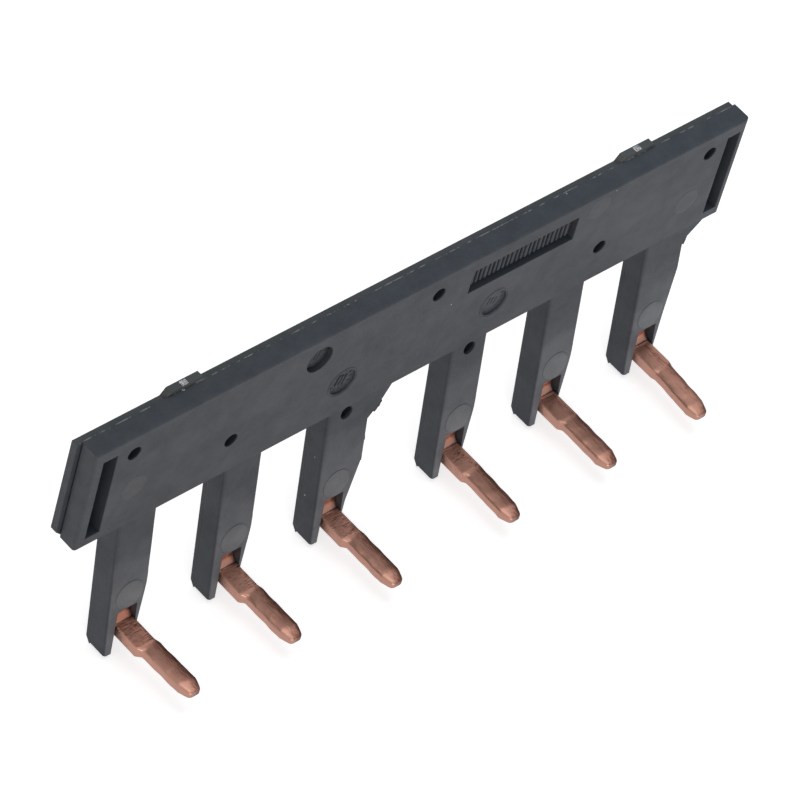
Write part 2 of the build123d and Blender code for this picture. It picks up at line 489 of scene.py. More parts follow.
@dataclass(frozen=True)
class MouldedPlastic:
    """Dark glass-filled plastic, mottled and speckled, with dust, a painted bluish reflection on its top faces,
    painted light at its right end, on the rear cover's top and on the legs' lower fronts, painted shade in its
    pockets and holes and on the legs' left faces, and a painted highlight along the seam.
    """

    name: str = "moulded_plastic"
    dark: Colour = (0.0362, 0.0390, 0.0452)
    light: Colour = (0.0578, 0.0612, 0.0684)
    ramp_ends: tuple[float, float] = (0.36, 0.62)
    # Painted reflection: faces that point up are tinted bluish, standing in for the surround that they reflect.
    painted_top_reflection: Tint = Tint((0.93, 1.05, 1.15), (Step(Along.FACING_Z, 0.5, 0.95),))
    # Painted light: the plastic is made lighter and bluer towards the right end.
    painted_right_end_light: Tint = Tint((1.10, 1.13, 1.17), (Step(Along.X, -30.0, 44.0),))
    # Painted light: the rear cover's top, sunk below the shell's top, is lightened against the shade of its groove.
    painted_rear_top_light: Tint = Tint((1.55, 1.46, 1.26), (Step(Along.Y, -0.90, -0.84), Step(Along.Z, 6.5, 6.75)))
    # Painted shade: the floors of the recesses and pockets behind the plate's front are darkened.
    painted_pocket_shade: Tint = Tint(
        (0.48, 0.49, 0.54),
        (
            Step(Along.Y, -3.0, -1.5),
            Band(Along.Z, 0.0, 6.75, 6.9),
            Band(Along.X, 0.0, 43.85, 43.95),
            Step(Along.Y, -0.70, -0.80),
        ),
    )
    # Painted light: the front faces of the legs' lower parts are lightened.
    painted_feet_light: Tint = Tint((2.35, 2.26, 2.15), (Step(Along.Z, -9.0, -20.0), Step(Along.FACING_Y, -0.6, -0.95)))
    # Painted shade: the legs' left faces are darkened.
    painted_flank_shade: Tint = Tint((0.84, 0.85, 0.87), (Step(Along.Z, -7.6, -9.0), Step(Along.FACING_X, -0.6, -0.9)))
    # Painted shade darkening the insides of the small round holes.
    painted_hole_shade: Colour = (0.34, 0.34, 0.36)
    hole_depth: Zone = (Step(Along.Y, -3.15, -2.95), Step(Along.Y, -0.70, -0.80))
    hole_places: tuple[tuple[float, float], ...] = ((39.5, 4.43), (25.45, -2.15), (1.0, 4.43), (8.53, -8.1))
    hole_edge: tuple[float, float] = (0.88, 0.95)
    # Painted highlight along the top edge of the seam between the two halves.
    painted_seam_highlight: Colour = (0.26, 0.265, 0.27)
    seam_line: Zone = (Band(Along.Y, -0.90, 0.03, 0.12), Band(Along.Z, 7.17, 0.06, 0.12))
    seam_breaks: Grain = Grain(0.9, 4.0, 0.7)
    seam_share: tuple[float, float] = (0.46, 0.62)
    dust: Colour = (0.55, 0.55, 0.54)
    dust_specks: Specks = Specks(0.55, (0.055, 0.035), (0.86, 0.88))
    clouds: Grain = Grain(0.42, 5.0, 0.62)
    flow: Grain = Grain(0.11, 3.0, 0.5, (1.0, 1.0, 2.2))
    speckle: Grain = Grain(3.4, 3.0, 0.7)
    speckle_share: float = 0.35
    flow_share: float = 0.30
    roughness_low: float = 0.44
    roughness_high: float = 0.62
    specular: float = 0.22
    edge_radius: float = 0.16 * MM
    edge_samples: int = 8
    grain_depth: float = 0.010 * MM
    cloud_depth: float = 0.014 * MM

    def _painted_hole_shade(self, nodes: Nodes) -> Node:
        """Share of the painted shade in the insides of the small round holes, which lie the same on both sides of
        the middle.

        Args:
            nodes: The material's nodes.

        Returns:
            The mask.
        """
        axes = nodes.axes(nodes.place())
        width = nodes.math("ABSOLUTE", (axes, "X"))
        spots = [
            nodes.times(nodes.band(width, x, *self.hole_edge), nodes.band((axes, "Z"), z, *self.hole_edge))
            for x, z in self.hole_places
        ]
        return nodes.times(nodes.zone(self.hole_depth), reduce(nodes.plus, spots))

    def _painted_seam_highlight(self, nodes: Nodes) -> Node:
        """Share of the painted highlight, broken by noise, along the top of the seam between the two halves."""
        broken = nodes.step(nodes.noise(self.seam_breaks), *self.seam_share)
        return nodes.times(nodes.zone(self.seam_line), broken)

    def build(self) -> Material:
        """Make the material.

        Returns:
            The finished material.
        """
        nodes = Nodes(bpy.data.materials.new(self.name))
        clouds = nodes.noise(self.clouds)
        speckle = nodes.noise(self.speckle)
        mottle = nodes.mean(clouds, speckle, self.speckle_share)
        mottle = nodes.mean(mottle, nodes.noise(self.flow), self.flow_share)
        colour = nodes.ramp(mottle, self.ramp_ends, (self.dark, self.light))
        # These tints paint reflection, light and shade onto the mottled colour, by place and by facing.
        for tint in (self.painted_top_reflection, self.painted_right_end_light, self.painted_rear_top_light, self.painted_pocket_shade, self.painted_feet_light, self.painted_flank_shade):
            colour = nodes.tint(colour, nodes.zone(tint.zone), tint.colour)
        colour = nodes.tint(colour, self._painted_hole_shade(nodes), self.painted_hole_shade)
        colour = nodes.cover(colour, self._painted_seam_highlight(nodes), self.painted_seam_highlight)
        colour = nodes.cover(colour, nodes.specks(self.dust_specks), self.dust)
        rough = nodes.spread(mottle, self.roughness_high, self.roughness_low)
        edges = nodes.add("ShaderNodeBevel", samples=self.edge_samples, Radius=self.edge_radius)
        waves = nodes.bump(clouds, self.cloud_depth, Normal=edges)
        grains = nodes.bump(speckle, self.grain_depth, Normal=waves)
        return nodes.finish(Base_Color=colour, Roughness=rough, Specular_IOR_Level=self.specular, Normal=grains)


@dataclass(frozen=True)
class CoinedCopper:
    """Bare copper, pink where it was pressed bright, with tool lines and stains, painted shade to the right of each
    pin and on the copper inside the housing, painted light on the pins' left flanks, painted highlights at the bends
    and a painted reddish reflection in the windows.

    The colour runs from brown over a middle tone to bright by a measure of wear and painted light and shade, to
    which each mark adds its gain.
    """

    name: str = "coined_copper"
    bright: Colour = (0.44, 0.235, 0.180)
    middle: Colour = (0.215, 0.092, 0.068)
    brown: Colour = (0.092, 0.042, 0.036)
    ramp_stops: tuple[float, float, float] = (0.26, 0.46, 0.72)
    # Painted reflection: the copper seen in the leg's window is tinted redder.
    painted_window_reflection: Tint = Tint((1.12, 0.86, 0.76), (Step(Along.Z, -22.1, -21.6),))
    # Painted shade: copper above the plate's lower edge, inside the housing, is darkened.
    painted_inside_shade: Tint = Tint((0.10, 0.10, 0.10), (Step(Along.Z, -9.6, -9.0),))
    speck: Colour = (0.86, 0.66, 0.58)
    bright_specks: Specks = Specks(2.2, (0.10, 0.05), (0.80, 0.82))
    stain: Grain = Grain(1.1, 5.0, 0.65)
    fine: Grain = Grain(6.5, 3.0, 0.6)
    lines: Grain = Grain(9.0, 3.0, 0.5, (1.0, 0.10, 1.0))
    chatter: Grain = Grain(8.0, 2.0, 0.55, (0.18, 1.0, 0.6))
    dents: Grain = Grain(2.2, 2.0)
    stain_share: float = 0.42
    fine_share: float = 0.26
    pin_places: tuple[float, ...] = (-36.0, -22.15, -8.22, 8.5, 22.45, 36.15)
    pin_reach: tuple[float, float] = (2.0, 2.6)
    across_limit: float = 1.6
    side_reach: float = 1.15
    edge_start: float = 0.55
    edge_zone: Zone = (Step(Along.Y, -8.7, -7.9),)
    edge_gain: float = 0.42
    # Painted highlights at the bend's crease: two light lines, with a painted dark line between them.
    painted_bend_highlights: tuple[tuple[Band, float], ...] = (
        (Band(Along.Y, -4.35, 0.08, 0.22), 1.0),
        (Band(Along.Y, -4.98, 0.04, 0.13), 1.0),
        (Band(Along.Y, -4.72, 0.03, 0.10), -0.9),
    )
    painted_bend_zone: Zone = (Step(Along.Z, -22.9, -22.6),)
    painted_bend_gain: float = 0.55
    # Painted light: the copper seen in the leg's window is lightened.
    painted_window_light_zone: Zone = (Step(Along.Z, -22.7, -22.4),)
    painted_window_light_gain: float = 0.22
    root_zone: Zone = (Band(Along.Y, -6.6, 1.5, 1.9), Step(Along.X, 14.0, 10.0))
    chatter_middle: float = 0.47
    chatter_gain: float = 1.7
    line_middle: float = 0.5
    line_gain: float = 0.7
    # Painted light and shade: the pins' left-facing flanks are made lighter and their right-facing ones darker.
    painted_flank_light_zone: Zone = (Step(Along.FACING_X, 0.45, -0.45),)
    painted_flank_light_middle: float = 0.60
    painted_flank_light_gain: float = 0.34
    roughness_low: float = 0.30
    roughness_high: float = 0.50
    line_depth: float = 0.009 * MM
    chatter_depth: float = 0.050 * MM
    dent_depth: float = 0.020 * MM

    def _across(self, nodes: Nodes) -> Node:
        """How far to the right of the nearest pin's middle a point lies, in millimetres, held at the limit.

        Args:
            nodes: The material's nodes.

        Returns:
            The distance.
        """
        x = (nodes.axes(nodes.place()), "X")
        limit = self.across_limit
        parts = []
        for place in self.pin_places:
            held = nodes.add("ShaderNodeClamp", Value=nodes.plus(x, -place), Min=-limit, Max=limit)
            parts.append(nodes.times(held, nodes.band(x, place, *self.pin_reach)))
        return reduce(nodes.plus, parts)

    def _wear_and_painted_light(self, nodes: Nodes, stain: Node, lines: Node, streaks: Node) -> Node:
        """Measure of wear and of painted light and shade, about 0 where the copper is brown or in painted shade and
        1 where it is bright or in painted light.

        Args:
            nodes: The material's nodes.
            stain: Noise of the stains.
            lines: Noise of the lines along the pins.
            streaks: The tool's chatter at the roots of the pins.

        Returns:
            The measure.
        """
        across = self._across(nodes)
        # Painted shade: the copper is darker to the right of each pin's middle and lighter to its left.
        side = nodes.spread(across, 0.0, 1.0, self.side_reach, -self.side_reach)
        wear_and_painted_light = nodes.mean(nodes.mean(side, stain, self.stain_share), nodes.noise(self.fine), self.fine_share)
        pale_edge = nodes.times(nodes.step(across, self.edge_start, self.side_reach), nodes.zone(self.edge_zone))
        painted_bend_marks = reduce(nodes.plus, [nodes.times(nodes.zone((line,)), share) for line, share in self.painted_bend_highlights])
        for mark, gain in (
            (pale_edge, self.edge_gain),
            (nodes.times(painted_bend_marks, nodes.zone(self.painted_bend_zone)), self.painted_bend_gain),
            (nodes.zone(self.painted_window_light_zone), self.painted_window_light_gain),
            (streaks, self.chatter_gain),
            (nodes.plus(lines, -self.line_middle), self.line_gain),
            (nodes.plus(nodes.zone(self.painted_flank_light_zone), -self.painted_flank_light_middle), self.painted_flank_light_gain),
        ):
            wear_and_painted_light = nodes.plus(wear_and_painted_light, nodes.times(mark, gain))
        return wear_and_painted_light

    def build(self) -> Material:
        """Make the material.

        Returns:
            The finished material.
        """
        nodes = Nodes(bpy.data.materials.new(self.name))
        stain = nodes.noise(self.stain)
        lines = nodes.noise(self.lines)
        chatter = nodes.noise(self.chatter)
        root = nodes.zone(self.root_zone)
        wear_and_painted_light = self._wear_and_painted_light(nodes, stain, lines, nodes.times(nodes.plus(chatter, -self.chatter_middle), root))
        colour = nodes.ramp(wear_and_painted_light, self.ramp_stops, (self.brown, self.middle, self.bright))
        for tint in (self.painted_window_reflection, self.painted_inside_shade):
            colour = nodes.tint(colour, nodes.zone(tint.zone), tint.colour)
        colour = nodes.cover(colour, nodes.specks(self.bright_specks), self.speck)
        rough = nodes.spread(stain, self.roughness_high, self.roughness_low)
        dented = nodes.bump(nodes.noise(self.dents), self.dent_depth)
        lined = nodes.bump(lines, self.line_depth, Normal=dented)
        ridged = nodes.bump(nodes.times(chatter, root), self.chatter_depth, Normal=lined)
        return nodes.finish(Base_Color=colour, Metallic=1.0, Roughness=rough, Normal=ridged)


@dataclass(frozen=True)
class TornPlastic:
    """The whitish rough face of a gate that was cut off."""

    name: str = "torn_plastic"
    dark: Colour = (0.10, 0.10, 0.11)
    light: Colour = (0.62, 0.63, 0.66)
    ramp_ends: tuple[float, float] = (0.34, 0.56)
    grains: Grain = Grain(4.5, 3.0, 0.7)
    grain_depth: float = 0.03 * MM
    roughness: float = 0.75

    def build(self) -> Material:
        """Make the material.

        Returns:
            The finished material.
        """
        nodes = Nodes(bpy.data.materials.new(self.name))
        grains = nodes.noise(self.grains)
        colour = nodes.ramp(grains, self.ramp_ends, (self.dark, self.light))
        rough = nodes.bump(grains, self.grain_depth)
        return nodes.finish(Base_Color=colour, Roughness=self.roughness, Normal=rough)


@dataclass(frozen=True)
class Housing:
    """Sizes of the moulded housing that the small marks sit on, in millimetres."""

    plate_front: float = -3.2
    plate_bottom: float = -7.2
    plate_top: float = 7.2
    boss_top: float = 7.65
    lean: float = np.radians(7.2)
    leg_places: tuple[float, ...] = (-36.47, -22.5, -8.53, 8.53, 22.5, 36.47)

    def on_leg(self, x: float, drop: float) -> Place:
        """Place on the front of a leg, with the directions out of it and up it.

        Args:
            x: Place along the plate.
            drop: How far below the plate's lower edge.

        Returns:
            The point, the outward direction and the upward direction.
        """
        point = np.array([x, self.plate_front - drop * np.tan(self.lean), self.plate_bottom - drop])
        out = np.array([0.0, -np.cos(self.lean), np.sin(self.lean)])
        return point, out, np.array([0.0, np.sin(self.lean), np.cos(self.lean)])

    def on_plate(self, x: float, z: float, depth: float = 0.0) -> Place:
        """Place on the plate's front or in a pocket of it, with the directions out of it and up it."""
        return np.array([x, self.plate_front + depth, z]), np.array([0.0, -1.0, 0.0]), np.array([0.0, 0.0, 1.0])


@dataclass
class PinShape:
    """How one pin of the real sample differs from a straight one, in millimetres.

    The toe is how far it turns inward for each millimetre of its length, the lift how much higher it stands, the
    shift how far its coined part lies beside its root, and the offset how far the whole foot lies beside the leg.
    """

    toe: float
    lift: float = 0.0
    shift: float = 0.25
    offset: float = 0.0


@dataclass
class CopperLink:
    """One bent copper strip: a bar in the plate and two legs that lean with the housing's and end as pins."""

    name: str
    reach: float
    bar_middle: float
    pins: tuple[PinShape, PinShape]
    strip_middle: float = -1.575
    width: float = 2.45
    thickness: float = 1.4
    bar_height: float = 2.2
    inner_radius: float = 0.3
    plate_bottom: float = Housing.plate_bottom
    lean: float = Housing.lean
    pin_drop: float = 15.85
    lean_radius: float = 3.0
    bend_radius: float = 1.7
    lean_rows: int = 5
    bend_rows: int = 17
    root_end: float = 8.1
    step: float = 0.8
    step_start: float = 0.12
    step_rows: int = 9
    pin_rows: int = 22
    pin_width: float = 2.30
    tip_start: float = 14.2
    tip_end: float = 15.6
    tip_rows: int = 14
    tip_narrowing: float = 0.38
    tip_thinning: float = 0.34
    tip_rounding: float = 0.42
    tip_power: int = 14
    window_top: float = -19.9
    aside_length: float = 2.2
    root_power: float = 14.0
    coined_power: float = 6.0
    roof: float = 0.14
    wander: float = 0.018
    wander_pace: float = 2.3
    dent: float = 0.012
    dent_pace: float = 3.1
    corner_rows: int = 13
    corner_power: float = 9.0
    outline_power: int = 8
    points_round: int = 36

    def _side_route(self, lift: float) -> tuple[Array, Array]:
        """Centre line of a leg and its pin seen from the end, from the bar down to the tip.

        Each corner of the run is a circular arc of radius r. It starts r tan(turn / 2) before the corner, and its
        points are start + r (d sin s + n (1 - cos s)), with d the way in, n the side it turns to and s the angle.

        Args:
            lift: How much higher than the drawing the pin stands.

        Returns:
            Y and Z of the points, and the unit directions of travel there.
        """
        drop = self.pin_drop - lift
        corners = np.array([
            (self.strip_middle, self.bar_middle - self.bar_height / 2 - self.inner_radius),
            (self.strip_middle, self.plate_bottom),
            (self.strip_middle - drop * np.tan(self.lean), self.plate_bottom - drop),
            (-self.root_end, self.plate_bottom - drop),
        ])
        runs = unit(np.diff(corners, axis=0))
        points = [corners[:1]]
        ways = [runs[:1]]
        for corner, before, after, radius, steps in zip(
            corners[1:3], runs[:-1], runs[1:], (self.lean_radius, self.bend_radius), (self.lean_rows, self.bend_rows)
        ):
            turn = np.arccos(np.clip(before @ after, -1, 1))
            side = unit(after - before * (before @ after))
            swept = np.linspace(0, turn, steps)[:, None]
            start = corner - before * radius * np.tan(turn / 2)
            points.append(start + radius * (before * np.sin(swept) + side * (1 - np.cos(swept))))
            ways.append(before * np.cos(swept) + side * np.sin(swept))
        points.append(corners[3:])
        ways.append(runs[2:])
        return np.concatenate(points), np.concatenate(ways)

    def _pin_run(self, lift: float) -> Array:
        """Centre line of the coined part, straight, with its points closer together at its step and its tip.

        Args:
            lift: How much higher than the drawing the pin stands.

        Returns:
            Y and Z of the points.
        """
        step = self.root_end + self.step * np.linspace(self.step_start, 1.0, self.step_rows)
        run = np.linspace(self.root_end + self.step, self.tip_start, self.pin_rows)[1:]
        share = np.sin(np.linspace(0, np.pi / 2, self.tip_rows))[1:]
        depth = np.concatenate([step, run, self.tip_start + (self.tip_end - self.tip_start) * share])
        return np.stack([-depth, np.full(len(depth), self.plate_bottom - self.pin_drop + lift)], axis=-1)

    def _leg_sections(self, pin: PinShape, side: float) -> Array:
        """Sections of one leg from its tip up to the bar, as if it were the left one.

        The sections are near rectangles at the root and superellipses in the coined part, whose thickness falls
        off sideways as 1 - roof |x|. At the tip, with t from 0 to 1, the width is multiplied by
        (1 - narrowing t) sqrt(1 - rounding t^14) and the thickness the same with its own thinning.

        Args:
            pin: How this pin differs from a straight one.
            side: 1 for the left leg, -1 for the right, whose sections are mirrored afterwards.

        Returns:
            Points as rows of sections.
        """
        route, ways = self._side_route(pin.lift)
        tip = self._pin_run(pin.lift)
        line = np.concatenate([route, tip])
        way = np.concatenate([ways, np.repeat([[-1.0, 0.0]], len(tip), axis=0)])
        depth = -line[:, 0]
        in_pin = np.arange(len(line)) >= len(route)
        stepped = np.where(in_pin, ease(depth, self.root_end, self.root_end + self.step), 0.0)
        tapered = np.where(in_pin, np.clip((depth - self.tip_start) / (self.tip_end - self.tip_start), 0, 1), 0.0)
        rounded = np.sqrt(1 - self.tip_rounding * tapered**self.tip_power)
        width = self.width + (self.pin_width - self.width) * stepped
        half_width = width / 2 * (1 - self.tip_narrowing * tapered) * rounded
        half_thickness = self.thickness / 2 * (1 - self.tip_thinning * tapered) * rounded
        wander = self.wander * np.sin(self.wander_pace * depth + 5 * pin.toe) * stepped
        turned = pin.shift * stepped + pin.toe * np.clip(depth - self.root_end, 0, None)
        aside = pin.offset * ease(line[:, 1], self.window_top, self.window_top - self.aside_length)
        middle = -self.reach + side * (turned + aside) + wander
        power = self.root_power - (self.root_power - self.coined_power) * stepped
        across, through = superellipse(self.points_round, power, power)
        through = through * (1 - self.roof * stepped[:, None] * np.abs(across))
        turn = np.linspace(0, 2 * np.pi, self.points_round, endpoint=False)
        ripple = np.sin(self.dent_pace * depth[:, None] + 2 * turn + 20 * pin.toe)
        dents = 1 + stepped[:, None] * self.dent * ripple
        x = middle[:, None] + half_width[:, None] * across * dents
        rear = np.stack([-way[:, 1], way[:, 0]], axis=-1)
        spread = (half_thickness[:, None] * through * dents)[..., None] * rear[:, None, :]
        sections = np.concatenate([x[..., None], line[:, None, :] + spread], axis=-1)
        return sections[::-1]

    def _corner_sections(self) -> Array:
        """Sections that fan round the left corner, from the leg's top to the start of the bar.

        Each section lies on a ray from one point. Its inner end is on a small arc, and its outer end on the
        rounded corner (|cos t / A|^8 + |sin t / B|^8)^(-1/8) from that point.

        Returns:
            Points as rows of sections.
        """
        radius = self.inner_radius
        centre = np.array([-self.reach + self.width / 2 + radius, self.bar_middle - self.bar_height / 2 - radius])
        turn = np.linspace(np.pi, np.pi / 2, self.corner_rows)[1:]
        ray = np.stack([np.cos(turn), np.sin(turn)], axis=-1)
        box = np.array([self.width + radius, self.bar_height + radius])
        outer = (np.abs(ray / box) ** self.outline_power).sum(axis=-1) ** (-1 / self.outline_power)
        middle = centre + ray * ((outer + radius) / 2)[:, None]
        power = np.full(len(turn), self.corner_power)
        across, through = superellipse(self.points_round, power, power)
        inward = -ray[:, None, :] * (((outer - radius) / 2)[:, None] * across)[..., None]
        plane = middle[:, None, :] + inward
        y = self.strip_middle + self.thickness / 2 * through
        return np.stack([plane[..., 0], y, plane[..., 1]], axis=-1)

    def build(self, copper: Material) -> None:
        """Make the whole strip as one tube and let it stand for its CAD node.

        Args:
            copper: Its finish.
        """
        mirror = np.array([-1.0, 1.0, 1.0])
        corner = self._corner_sections()
        left = np.concatenate([self._leg_sections(self.pins[0], 1.0), corner])
        right = np.concatenate([self._leg_sections(self.pins[1], -1.0), corner])[::-1] * mirror
        strip = Surface()
        strip.add_tube(np.concatenate([left, right]))
        piece = strip.build(f"{self.name}_strip", Slot.COPPER, copper)
        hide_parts(self.name)


@dataclass(frozen=True)
class Dial:
    """One round pocket: its middle, the depth of its marks, how far they stand out and its pointer's length."""

    x: float
    z: float
    depth: float
    rise: float
    pointer: float
    lip: bool = False


@dataclass(frozen=True)
class Burr:
    """One torn flake on a leg, from one place to another (along the plate, below it), and its size."""

    start: tuple[float, float]
    end: tuple[float, float]
    swell: float


@dataclass
class MouldingMarks:
    """Marks that the mould leaves on the housing: ejector discs, gate scars, raised ticks and bars, burrs."""

    housing: Housing
    foot: float = 0.1
    disc_radius: float = 1.8
    disc_rise: float = 0.06
    disc_drop: float = 10.7
    disc_insets: tuple[float, ...] = (0.0, 0.0, 0.02, 0.06, 0.10)
    disc_crown: tuple[float, ...] = (0.5, 0.9)
    disc_levels: tuple[float, ...] = (0.0, 0.45, 0.9, 1.0, 1.0, 1.0)
    plate_discs: tuple[tuple[float, float, float], ...] = ((-38.3, -1.4, 1.6), (23.3, 5.1, 1.5), (38.1, -2.2, 1.6))
    plate_disc_rise: float = 0.012
    block_points: int = 24
    block_power: float = 8.0
    block_draw: tuple[float, ...] = (0.0, 0.0, 0.06, 0.16, 0.34)
    block_levels: tuple[float, ...] = (0.5, 0.8, 0.95, 1.0)
    recess_middle: tuple[float, float] = (13.0, 3.47)
    recess_floor: float = 0.9
    bar_count: int = 22
    bar_pitch: float = 0.63
    bar_widths: tuple[float, ...] = (0.40, 0.28, 0.28)
    bar_height: float = 2.2
    bar_rise: float = 0.42
    dials: tuple[Dial, ...] = (
        Dial(-10.46, -2.22, 0.3, 0.14, 1.5, True),
        Dial(10.46, -2.22, 0.3, 0.05, 0.9, True),
        Dial(-15.07, 3.93, 0.62, 0.09, 1.2),
    )
    tick_count: int = 12
    tick_reach: float = 1.3
    tick_size: tuple[float, float] = (0.18, 0.38)
    pointer_width: float = 0.24
    pointer_tilt: float = 0.3
    pointer_places: tuple[float, ...] = (-0.5, 0.0, 0.5)
    lip_radius: float = 1.92
    lip_thickness: float = 0.055
    lip_points: int = 8
    insert_floor: float = 1.3
    insert_radius: float = 1.66
    insert_rise: float = 0.68
    gates: tuple[tuple[float, ...], ...] = (
        (-31.62, -0.46, Housing.boss_top, 0.92, 0.74),
        (30.42, -0.46, Housing.boss_top, 0.92, 0.74),
        (-31.95, -0.95, Housing.plate_top, 0.34, 0.2),
    )
    gate_grid: tuple[int, int] = (15, 13)
    gate_rise: float = 0.045
    gate_rough: float = 0.03
    gate_clip: float = 1.4
    gate_edge: float = 0.05
    gate_root: float = 0.3
    gate_seed: int = 7
    burrs: tuple[Burr, ...] = (
        Burr((-3.42, 1.85), (-4.5, 2.8), 0.46),
        Burr((40.2, 1.4), (39.7, 2.3), 0.2),
        Burr((-5.25, 5.6), (-5.28, 6.3), 0.13),
        Burr((-5.27, 8.2), (-5.4, 9.1), 0.16),
    )
    burr_rows: int = 9
    burr_points: int = 10
    burr_depth: float = 0.25
    burr_thickness: float = 0.22
    burr_slant: float = 0.12
    round_steps: int = 40

    def _disc(self, surface: Surface, at: Place, radius: float, rise: float) -> None:
        """Add a low disc with a rounded rim, as a tube of circles that grow narrower as they rise.

        Args:
            surface: What it is added to.
            at: Its middle, its outward direction and its upward direction.
            radius: Its radius.
            rise: How far it stands out.
        """
        middle, out, up = at
        turn = np.linspace(0, 2 * np.pi, self.round_steps, endpoint=False)
        circle = np.cos(turn)[:, None] * np.cross(up, out) + np.sin(turn)[:, None] * up
        radii = radius - np.append(self.disc_insets, radius * np.array(self.disc_crown))
        heights = np.append(-2 * self.foot, rise * np.array(self.disc_levels))
        surface.add_tube(middle + radii[:, None, None] * circle + heights[:, None, None] * out)

    def _block(self, surface: Surface, at: Place, size: tuple[float, float], rise: float) -> None:
        """Add a raised block with rounded edges, standing on a face.

        Its sections are superellipses of power 8, and the top one is drawn in by a third of the block's least size.

        Args:
            surface: What it is added to.
            at: Its middle on the face, its outward direction and its upward direction.
            size: Its width and its height along the face.
            rise: How far it stands out.
        """
        middle, out, up = at
        power = np.full(len(self.block_draw), self.block_power)
        across, through = superellipse(self.block_points, power, power)
        draw = np.array(self.block_draw) * min(*size, rise)
        heights = np.append(-self.foot, rise * np.array(self.block_levels))
        width = (size[0] / 2 - draw / 2)[:, None] * across
        height = (size[1] / 2 - draw / 2)[:, None] * through
        flat = width[..., None] * np.cross(up, out) + height[..., None] * up
        surface.add_tube(middle + flat + heights[:, None, None] * out)

    def _lip(self, surface: Surface, at: Place) -> None:
        """Add a ring of round wire, half sunk in a face: (R + r cos s) round the circle and -r sin s out of it.

        Args:
            surface: What it is added to.
            at: Its middle, its outward direction and its upward direction.
        """
        middle, out, up = at
        turn = np.linspace(0, 2 * np.pi, self.round_steps, endpoint=False)[:, None]
        wire = np.linspace(0, 2 * np.pi, self.lip_points, endpoint=False)[None, :]
        reach = self.lip_radius + self.lip_thickness * np.cos(wire)
        lift = -self.lip_thickness * np.sin(wire) * np.ones_like(turn)
        ring = reach[..., None] * (np.cos(turn)[..., None] * np.cross(up, out) + np.sin(turn)[..., None] * up)
        surface.add_ring(middle + ring + lift[..., None] * out)

    def _discs(self, plastic: Material) -> None:
        """Discs of the ejector pins, one on each leg and three on the plate.

        Args:
            plastic: Their finish.
        """
        discs = Surface()
        for place in self.housing.leg_places:
            self._disc(discs, self.housing.on_leg(place, self.disc_drop), self.disc_radius, self.disc_rise)
        for x, z, radius in self.plate_discs:
            self._disc(discs, self.housing.on_plate(x, z), radius, self.plate_disc_rise)
        discs.build("ejector_discs", Slot.PLASTIC, plastic)

    def _recess_bars(self, plastic: Material) -> None:
        """Plain upright bars in the long recess, every third one wider.

        Args:
            plastic: Their finish.
        """
        bars = Surface()
        x, z = self.recess_middle
        for index in range(self.bar_count):
            place = x + (index - (self.bar_count - 1) / 2) * self.bar_pitch
            width = self.bar_widths[index % len(self.bar_widths)]
            at = self.housing.on_plate(place, z, self.recess_floor)
            self._block(bars, at, (width, self.bar_height), self.bar_rise)
        bars.build("recess_bars", Slot.PLASTIC, plastic)

    def _dial_ticks(self, plastic: Material) -> None:
        """Twelve ticks and a pointer of three bars in each round pocket, and the fine lip round the low ones.

        Args:
            plastic: Their finish.
        """
        ticks = Surface()
        for dial in self.dials:
            middle, out, up = self.housing.on_plate(dial.x, dial.z, dial.depth)
            side = np.cross(up, out)
            for turn in np.arange(self.tick_count) * 2 * np.pi / self.tick_count:
                ray = np.cos(turn) * up + np.sin(turn) * side
                self._block(ticks, (middle + self.tick_reach * ray, out, ray), self.tick_size, dial.rise / 2)
            tilt = unit(up + self.pointer_tilt * side)
            for shift in self.pointer_places:
                at = (middle + shift * np.cross(tilt, out), out, tilt)
                self._block(ticks, at, (self.pointer_width, dial.pointer), dial.rise)
        for dial in self.dials:
            if dial.lip:
                self._lip(ticks, self.housing.on_plate(dial.x, dial.z))
        ticks.build("dial_ticks", Slot.PLASTIC, plastic)

    def _dial_insert(self, plastic: Material) -> None:
        """Round insert that stands in the deep dial and fills its lower part.

        Args:
            plastic: Its finish.
        """
        insert = Surface()
        deep = self.dials[-1]
        at = self.housing.on_plate(deep.x, deep.z, self.insert_floor)
        self._disc(insert, at, self.insert_radius, self.insert_rise)
        insert.build("dial_insert", Slot.PLASTIC, plastic)

    def _gate_scars(self, scar: Material) -> None:
        """Rough whitish stubs where the gates were cut off.

        The top of each is a grid whose heights are drawn from a normal distribution with a fixed seed and clipped,
        with its rim lowered into the face. A flat grid below closes it.

        Args:
            scar: Their finish.
        """
        chance = np.random.default_rng(self.gate_seed)
        scars = Surface()
        rows, columns = self.gate_grid
        for x, y, z, width, depth in self.gates:
            along = (x + width * np.linspace(-0.5, 0.5, rows))[:, None]
            over = (y + depth * np.linspace(-0.5, 0.5, columns))[None, :]
            bumps = chance.standard_normal(self.gate_grid).clip(-self.gate_clip, self.gate_clip)
            rough = z + self.gate_rise + self.gate_rough * bumps
            rough[:, (0, -1)] = z - self.gate_edge
            rough[(0, -1), :] = z - self.gate_edge
            flat = np.full(self.gate_grid, z - self.gate_root)
            upper = np.stack(np.broadcast_arrays(along, over, rough), axis=-1)
            lower = np.stack(np.broadcast_arrays(along, over[:, ::-1], flat), axis=-1)
            scars.add_tube(np.concatenate([upper, lower], axis=1)[:, ::-1])
        scars.build("gate_scars", Slot.PLASTIC, scar, smooth=False)

